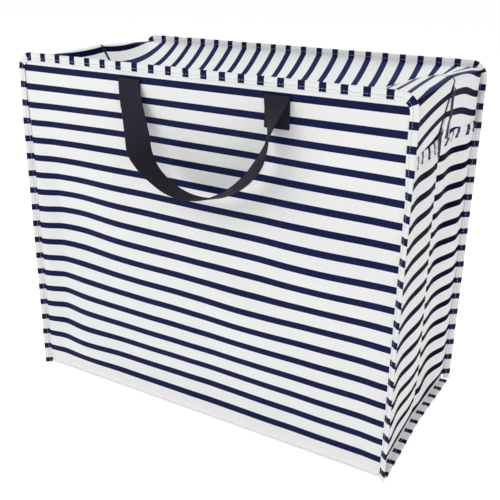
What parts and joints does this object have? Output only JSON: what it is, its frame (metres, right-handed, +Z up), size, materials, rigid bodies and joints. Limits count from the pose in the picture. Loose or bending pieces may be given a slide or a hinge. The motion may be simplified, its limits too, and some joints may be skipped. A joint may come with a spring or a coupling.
{
  "type": "zip-top storage bag",
  "caption": "Large rectangular storage bag of striped laminated cloth with bound seams, a zip across its sagging lid and down both ends, and two webbing carry handles.",
  "frame": {"origin": "on the floor, under the middle of the bag", "axes": "+X along the bag's length towards the end that holds both zip sliders, -Y towards the front wall, +Z up"},
  "size_m": [0.552, 0.3458, 0.47],
  "materials": {
    "striped_cloth": "white woven cloth with a satin plastic laminate and navy stripes across it",
    "lid_cloth": "the same striped laminate, with its stripes across the lid",
    "binding": "narrow strips of the same laminate folded over the raw edges and stitched in pale grey",
    "zip_tape": "black woven polyester tape, matt",
    "zip_teeth": "black nylon coil",
    "dark_metal": "dark plated zinc, slightly worn",
    "webbing": "blue-black polypropylene webbing with a fine twill, matt"
  },
  "bodies": {
    "bag": {"main_panel": "striped_cloth", "left_end_panel": "striped_cloth", "right_end_panel": "striped_cloth", "left_zip_tab": "striped_cloth", "right_zip_tab": "striped_cloth", "left_drop_front": "lid_cloth", "left_drop_back": "lid_cloth", "right_drop_front": "lid_cloth", "right_drop_back": "lid_cloth", "front_binding": "binding", "back_binding": "binding", "left_base_binding": "binding", "right_base_binding": "binding", "left_seam_binding": "binding", "right_seam_binding": "binding", "left_front_zip_tape": "zip_tape", "left_back_zip_tape": "zip_tape", "right_front_zip_tape": "zip_tape", "right_back_zip_tape": "zip_tape", "left_front_zip_teeth": "zip_teeth", "left_back_zip_teeth": "zip_teeth", "right_front_zip_teeth": "zip_teeth", "right_back_zip_teeth": "zip_teeth", "left_zip_stop": "dark_metal", "right_zip_stop": "dark_metal", "front_handle_left_sewn_end": "webbing", "front_handle_right_sewn_end": "webbing", "back_handle_left_sewn_end": "webbing", "back_handle_right_sewn_end": "webbing"},
    "lid_front": {"lid_front_panel": "lid_cloth", "lid_front_zip_tape": "zip_tape", "lid_front_zip_teeth": "zip_teeth"},
    "lid_back": {"lid_back_panel": "lid_cloth", "lid_back_zip_tape": "zip_tape", "lid_back_zip_teeth": "zip_teeth"},
    "front_handle": {"front_handle_loop": "webbing"},
    "back_handle": {"back_handle_loop": "webbing"},
    "upper_slider": {"zip_slider_upper": "dark_metal"},
    "upper_pull": {"zip_pull_upper": "dark_metal"},
    "lower_slider": {"zip_slider_lower": "dark_metal"},
    "lower_pull": {"zip_pull_lower": "dark_metal"}
  },
  "joints": [
    {"name": "front_handle_swing", "type": "hinge", "parent": "bag", "child": "front_handle", "pos_m": [0, -0.1409, 0.451], "axis": [-1, 0, 0], "range_deg": [0, 125]},
    {"name": "back_handle_swing", "type": "hinge", "parent": "bag", "child": "back_handle", "pos_m": [0, 0.1409, 0.451], "axis": [1, 0, 0], "range_deg": [0, 125]},
    {"name": "lid_front_open", "type": "hinge", "parent": "bag", "child": "lid_front", "pos_m": [0, -0.1371, 0.4608], "axis": [1, 0, 0], "range_deg": [0, 90]},
    {"name": "lid_back_open", "type": "hinge", "parent": "bag", "child": "lid_back", "pos_m": [0, 0.1371, 0.4608], "axis": [-1, 0, 0], "range_deg": [0, 90]},
    {"name": "upper_slider_run", "type": "slide", "parent": "bag", "child": "upper_slider", "axis": [-0.1861, 0, -0.9825], "range_m": [0, 0.018]},
    {"name": "lower_slider_run", "type": "slide", "parent": "bag", "child": "lower_slider", "axis": [0.1861, 0, 0.9825], "range_m": [0, 0.018]},
    {"name": "upper_pull_swing", "type": "hinge", "parent": "upper_slider", "child": "upper_pull", "pos_m": [0.26982, 0, 0.45102], "axis": [0, -1, 0], "range_deg": [0, 150]},
    {"name": "lower_pull_swing", "type": "hinge", "parent": "lower_slider", "child": "lower_pull", "pos_m": [0.26054, 0, 0.40202], "axis": [0, -1, 0], "range_deg": [0, 150]}
  ]
}
